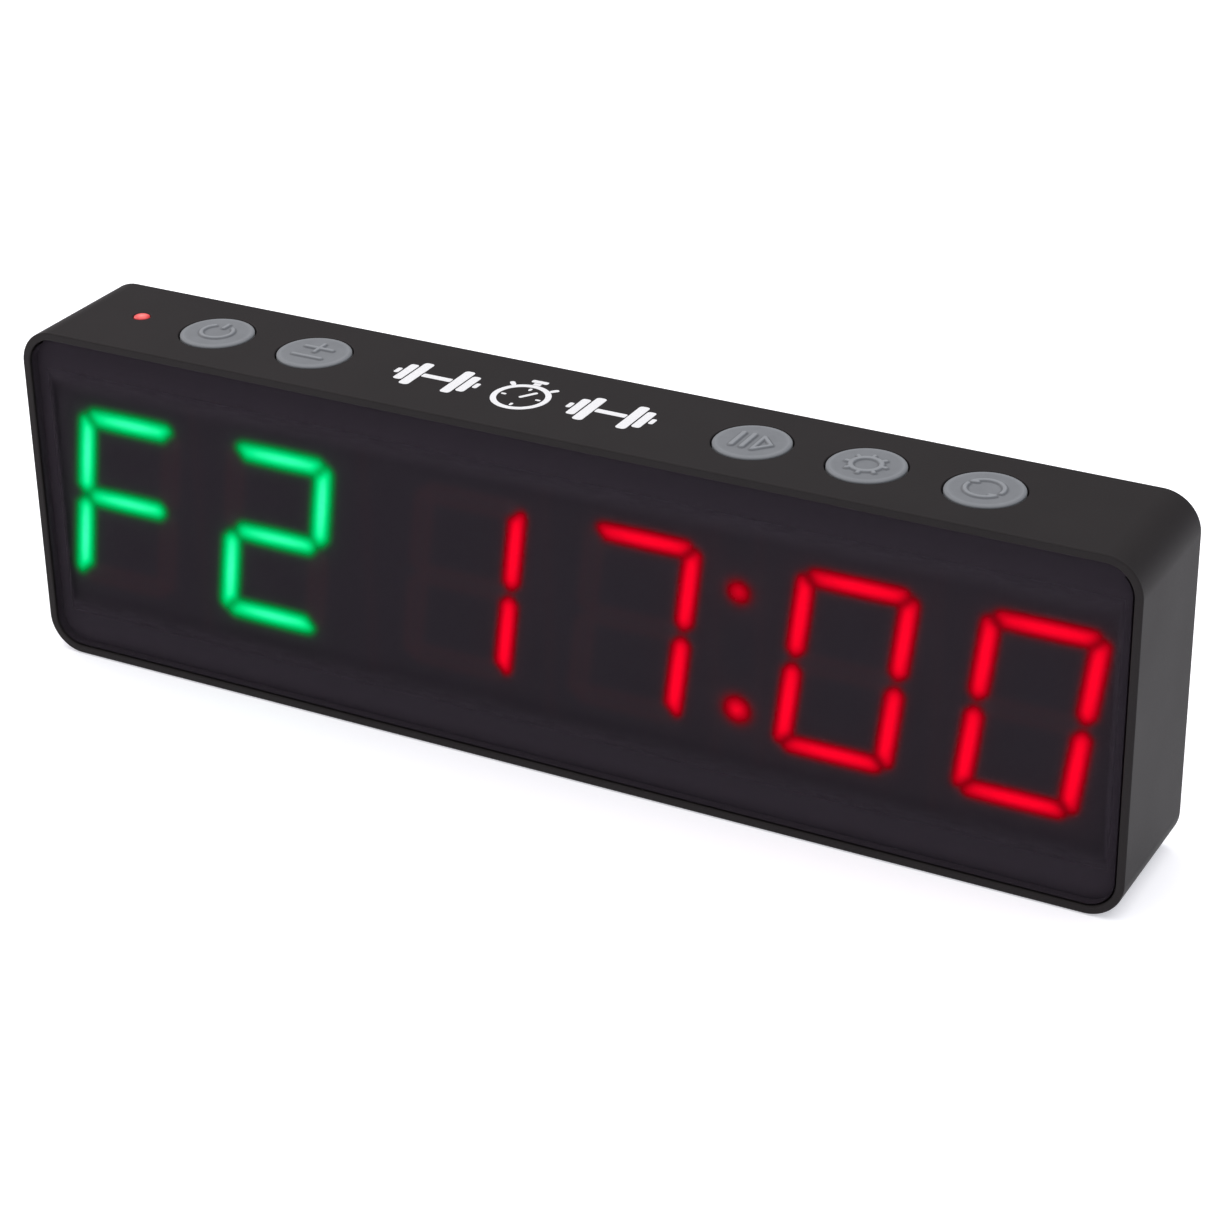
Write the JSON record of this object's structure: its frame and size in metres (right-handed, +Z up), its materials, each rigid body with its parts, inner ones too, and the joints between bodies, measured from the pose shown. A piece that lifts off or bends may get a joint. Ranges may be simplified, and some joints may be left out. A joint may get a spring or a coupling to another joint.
{
  "type": "gym interval timer",
  "caption": "Slim free-standing interval timer: matt black case, smoked front lens over a seven-segment display, round push keys along the top, screwed rear cover with magnets.",
  "frame": {"origin": "centre of the footprint, on the surface the timer stands on", "axes": "+X along the case, to the right of someone reading the display; +Y from the display to the rear cover; +Z up"},
  "size_m": [0.23, 0.029, 0.0706],
  "materials": {
    "case_plastic": "satin",
    "lens_acrylic": "polished",
    "lens_tape_foam": "matte",
    "diffuser_sheet": "matte",
    "key_silicone": "matte",
    "led_green": "glowing",
    "led_red": "glowing",
    "indicator_red": "glowing",
    "digit_case_plastic": "matte",
    "circuit_board": "satin",
    "chip_epoxy": "matte",
    "switch_plastic": "satin",
    "plunger_plastic": "satin",
    "screw_steel": "satin",
    "magnet_nickel": "polished",
    "cell_foil": "satin",
    "connector_plastic": "satin",
    "wire_insulation": "satin",
    "flex_film": "satin",
    "socket_steel": "satin",
    "socket_tongue_plastic": "satin",
    "speaker_basket_steel": "satin",
    "speaker_cone_paper": "matte",
    "gasket_foam": "matte"
  },
  "bodies": {
    "case": {"front_housing": "case_plastic", "rear_cover": "case_plastic", "front_lens": "lens_acrylic", "lens_tape": "lens_tape_foam", "diffuser_film": "diffuser_sheet", "digit_1_segments": "led_green", "digit_2_segments": "led_green", "digit_3_segments": "led_red", "digit_4_segments": "led_red", "digit_5_segments": "led_red", "digit_6_segments": "led_red", "colon_dots": "led_red", "indicator_light_pipe": "indicator_red", "digit_1_case": "digit_case_plastic", "digit_2_case": "digit_case_plastic", "digit_3_case": "digit_case_plastic", "digit_4_case": "digit_case_plastic", "digit_5_case": "digit_case_plastic", "digit_6_case": "digit_case_plastic", "colon_case": "digit_case_plastic", "display_board": "circuit_board", "button_board": "circuit_board", "control_chip": "chip_epoxy", "driver_chip": "chip_epoxy", "switch_body_1": "switch_plastic", "switch_body_2": "switch_plastic", "switch_body_3": "switch_plastic", "switch_body_4": "switch_plastic", "switch_body_5": "switch_plastic", "cover_screw_1": "screw_steel", "cover_screw_2": "screw_steel", "cover_screw_3": "screw_steel", "cover_screw_4": "screw_steel", "board_screw_1": "screw_steel", "board_screw_2": "screw_steel", "magnet_1": "magnet_nickel", "magnet_2": "magnet_nickel", "magnet_3": "magnet_nickel", "magnet_4": "magnet_nickel", "battery_cell": "cell_foil", "battery_plug": "connector_plastic", "battery_header": "connector_plastic", "indicator_led": "connector_plastic", "battery_leads": "wire_insulation", "button_ribbon": "flex_film", "usb_socket_shell": "socket_steel", "usb_socket_tongue": "socket_tongue_plastic", "speaker_frame": "speaker_basket_steel", "speaker_cone": "speaker_cone_paper", "speaker_gasket": "gasket_foam"},
    "power_key": {"power_button": "key_silicone", "switch_plunger_1": "plunger_plastic"},
    "plus_minus_key": {"plus_minus_button": "key_silicone", "switch_plunger_2": "plunger_plastic"},
    "start_pause_key": {"start_pause_button": "key_silicone", "switch_plunger_3": "plunger_plastic"},
    "settings_key": {"settings_button": "key_silicone", "switch_plunger_4": "plunger_plastic"},
    "cycle_key": {"cycle_button": "key_silicone", "switch_plunger_5": "plunger_plastic"}
  },
  "joints": [
    {"name": "power_press", "type": "slide", "parent": "case", "child": "power_key", "axis": [0, 0, -1], "range_m": [0, 0.0005], "stiffness_N_per_m": 400, "springref_m": -0.004},
    {"name": "plus_minus_press", "type": "slide", "parent": "case", "child": "plus_minus_key", "axis": [0, 0, -1], "range_m": [0, 0.0005], "stiffness_N_per_m": 400, "springref_m": -0.004},
    {"name": "start_pause_press", "type": "slide", "parent": "case", "child": "start_pause_key", "axis": [0, 0, -1], "range_m": [0, 0.0005], "stiffness_N_per_m": 400, "springref_m": -0.004},
    {"name": "settings_press", "type": "slide", "parent": "case", "child": "settings_key", "axis": [0, 0, -1], "range_m": [0, 0.0005], "stiffness_N_per_m": 400, "springref_m": -0.004},
    {"name": "cycle_press", "type": "slide", "parent": "case", "child": "cycle_key", "axis": [0, 0, -1], "range_m": [0, 0.0005], "stiffness_N_per_m": 400, "springref_m": -0.004}
  ]
}
